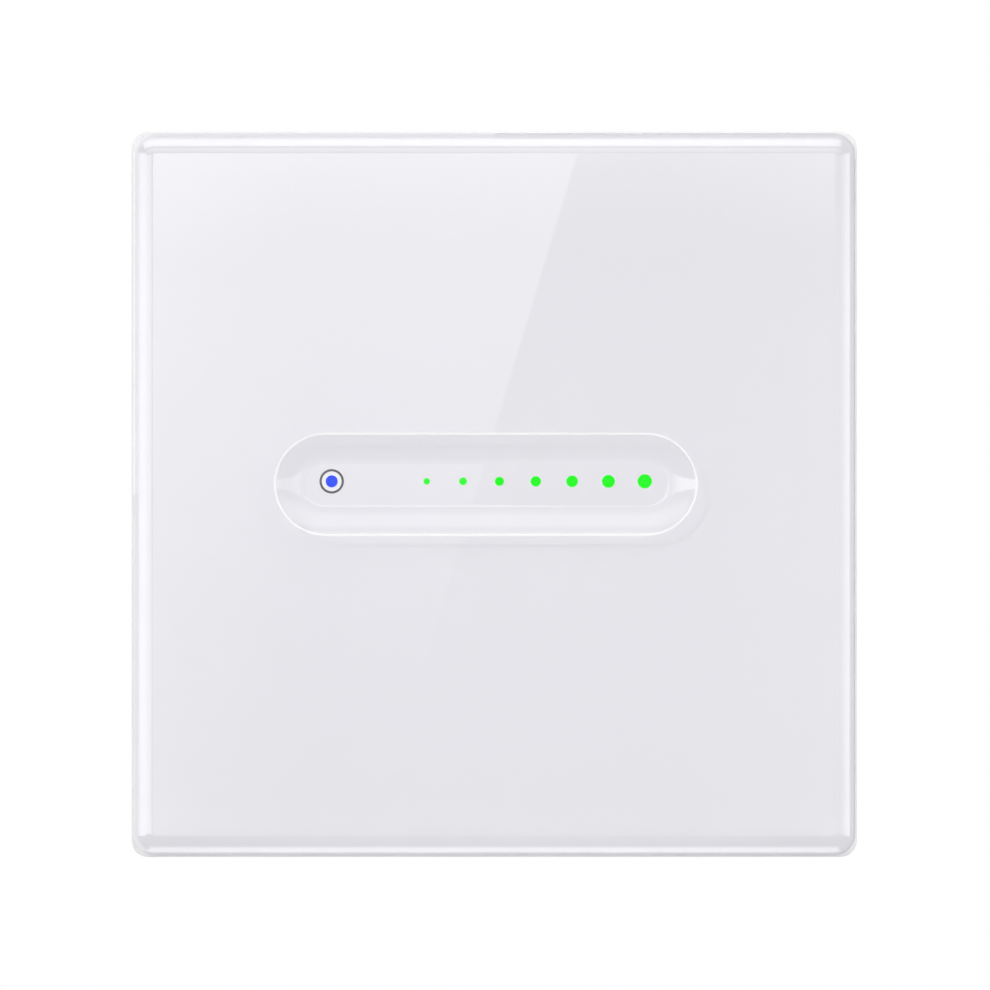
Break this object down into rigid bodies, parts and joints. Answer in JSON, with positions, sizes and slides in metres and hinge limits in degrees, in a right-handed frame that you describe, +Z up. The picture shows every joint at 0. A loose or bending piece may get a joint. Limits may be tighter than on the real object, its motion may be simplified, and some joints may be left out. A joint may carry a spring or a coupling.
{
  "type": "smart dimmer switch",
  "caption": "Wall-mounted touch dimmer: square glass panel with a ground slide groove and lit level marks, on a clip-on carrier and a screw-terminal module.",
  "frame": {"origin": "middle of the mounting plate's back face, on the wall's surface", "axes": "+X to the right, +Z up, the glass faces -Y and the module reaches into the wall along +Y"},
  "size_m": [0.086, 0.039, 0.086],
  "materials": {
    "clear_glass": "clear, polished",
    "white_enamel": "fired white enamel",
    "grey_ink": "printed grey ink",
    "green_window": "lit green ink",
    "blue_window": "lit blue ink",
    "diffuser": "frosted film",
    "foam_tape": "foam tape",
    "carrier_plastic": "fine moulded texture",
    "zinc_steel": "zinc plated sheet",
    "spring_steel": "rolled spring steel",
    "rivet_steel": "plated",
    "case_plastic": "fine moulded texture",
    "cover_plastic": "fine moulded texture",
    "screw_steel": "zinc plated",
    "amber_film": "clear amber film",
    "board_green": "solder mask",
    "board_blue": "solder mask",
    "bare_copper": "tinned copper pads",
    "led_green": "clear resin",
    "led_blue": "clear resin",
    "mask_plastic": "opaque white",
    "chip_resin": "moulded resin",
    "pin_gold": "gold plated",
    "header_plastic": "moulded",
    "shield_tin": "tin plated",
    "film_case": "moulded box",
    "can_sleeve": "shrunk sleeve",
    "varistor_coat": "dipped epoxy",
    "fuse_case": "moulded",
    "ferrite": "ground ferrite",
    "enamelled_wire": "enamelled copper",
    "inductor_sleeve": "shrunk sleeve",
    "sink_aluminium": "extruded",
    "block_plastic": "glass filled",
    "contact_brass": "bright brass",
    "clamp_brass": "plated brass"
  },
  "bodies": {
    "base": {"mounting_plate": "zinc_steel", "panel_clips": "spring_steel", "clip_rivets": "rivet_steel", "rear_housing": "case_plastic", "front_cover": "cover_plastic", "case_screws": "screw_steel", "plate_screws": "screw_steel", "insulating_sheet": "amber_film", "sensor_board": "board_green", "slider_electrodes": "bare_copper", "power_electrode": "bare_copper", "level_leds": "led_green", "power_led": "led_blue", "light_mask": "mask_plastic", "touch_chip": "chip_resin", "header_pins": "pin_gold", "header_body": "header_plastic", "header_socket": "header_plastic", "power_board": "board_green", "radio_board": "board_blue", "radio_shield": "shield_tin", "supply_chip": "chip_resin", "film_capacitor": "film_case", "electrolytic_capacitor": "can_sleeve", "varistor": "varistor_coat", "fuse": "fuse_case", "bridge_rectifier": "chip_resin", "choke_core": "ferrite", "choke_winding": "enamelled_wire", "supply_inductor": "inductor_sleeve", "transistor_left": "chip_resin", "transistor_right": "chip_resin", "heat_sink": "sink_aluminium", "heat_sink_screws": "screw_steel", "terminal_block": "block_plastic", "terminal_contacts": "contact_brass"},
    "panel": {"glass_panel": "clear_glass", "print_layer": "white_enamel", "ring_mark": "grey_ink", "level_windows": "green_window", "power_window": "blue_window", "diffuser_film": "diffuser", "adhesive_frame": "foam_tape", "panel_carrier": "carrier_plastic"},
    "screw_line": {"terminal_screw_line": "screw_steel"},
    "clamp_line": {"terminal_clamp_line": "clamp_brass"},
    "screw_neutral": {"terminal_screw_neutral": "screw_steel"},
    "clamp_neutral": {"terminal_clamp_neutral": "clamp_brass"},
    "screw_load": {"terminal_screw_load": "screw_steel"},
    "clamp_load": {"terminal_clamp_load": "clamp_brass"}
  },
  "joints": [
    {"name": "panel_pull", "type": "slide", "parent": "base", "child": "panel", "axis": [0, -1, 0], "range_m": [0, 0.03]},
    {"name": "screw_line", "type": "hinge", "parent": "base", "child": "screw_line", "pos_m": [-0.008, 0.0256, -0.01845], "axis": [0, -1, 0], "range_deg": [0, 2160]},
    {"name": "clamp_line", "type": "slide", "parent": "base", "child": "clamp_line", "axis": [0, 1, 0], "range_m": [0, 0.0036]},
    {"name": "screw_neutral", "type": "hinge", "parent": "base", "child": "screw_neutral", "pos_m": [0, 0.0256, -0.01845], "axis": [0, -1, 0], "range_deg": [0, 2160]},
    {"name": "clamp_neutral", "type": "slide", "parent": "base", "child": "clamp_neutral", "axis": [0, 1, 0], "range_m": [0, 0.0036]},
    {"name": "screw_load", "type": "hinge", "parent": "base", "child": "screw_load", "pos_m": [0.008, 0.0256, -0.01845], "axis": [0, -1, 0], "range_deg": [0, 2160]},
    {"name": "clamp_load", "type": "slide", "parent": "base", "child": "clamp_load", "axis": [0, 1, 0], "range_m": [0, 0.0036]}
  ],
  "couplings": [
    {"joint": "screw_line", "follows": "clamp_line", "rad_per_m": 10472},
    {"joint": "screw_neutral", "follows": "clamp_neutral", "rad_per_m": 10472},
    {"joint": "screw_load", "follows": "clamp_load", "rad_per_m": 10472}
  ]
}
